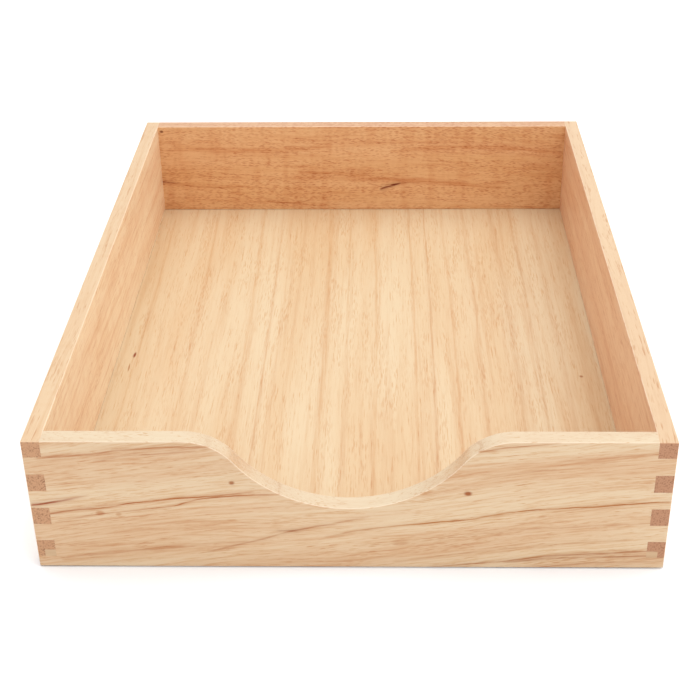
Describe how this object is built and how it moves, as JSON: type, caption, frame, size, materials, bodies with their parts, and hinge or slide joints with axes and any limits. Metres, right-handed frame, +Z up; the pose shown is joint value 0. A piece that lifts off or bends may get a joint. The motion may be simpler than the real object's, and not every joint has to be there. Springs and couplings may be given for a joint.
{
  "type": "letter tray",
  "caption": "Open wooden letter tray with finger-jointed corners, a curved hand scoop in the front board and a flat bottom panel held in grooves.",
  "frame": {"origin": "middle of the footprint, on the surface that the tray stands on", "axes": "+X to the right of someone facing the scooped front, +Y from the front to the back, +Z up"},
  "size_m": [0.2572, 0.3206, 0.0635],
  "materials": {
    "front_wood": "clear satin lacquer on light hardwood",
    "back_wood": "clear satin lacquer on light hardwood",
    "left_wood": "clear satin lacquer on light hardwood",
    "right_wood": "clear satin lacquer on light hardwood",
    "panel_wood": "clear satin lacquer on light hardwood veneer",
    "plug_wood": "sanded flush, clear satin lacquer"
  },
  "bodies": {
    "root": {"front_board": "front_wood", "back_board": "back_wood", "left_side_board": "left_wood", "right_side_board": "right_wood", "bottom_panel": "panel_wood", "front_left_groove_plug": "plug_wood", "front_right_groove_plug": "plug_wood", "rear_left_groove_plug": "plug_wood", "rear_right_groove_plug": "plug_wood"}
  },
  "joints": []
}
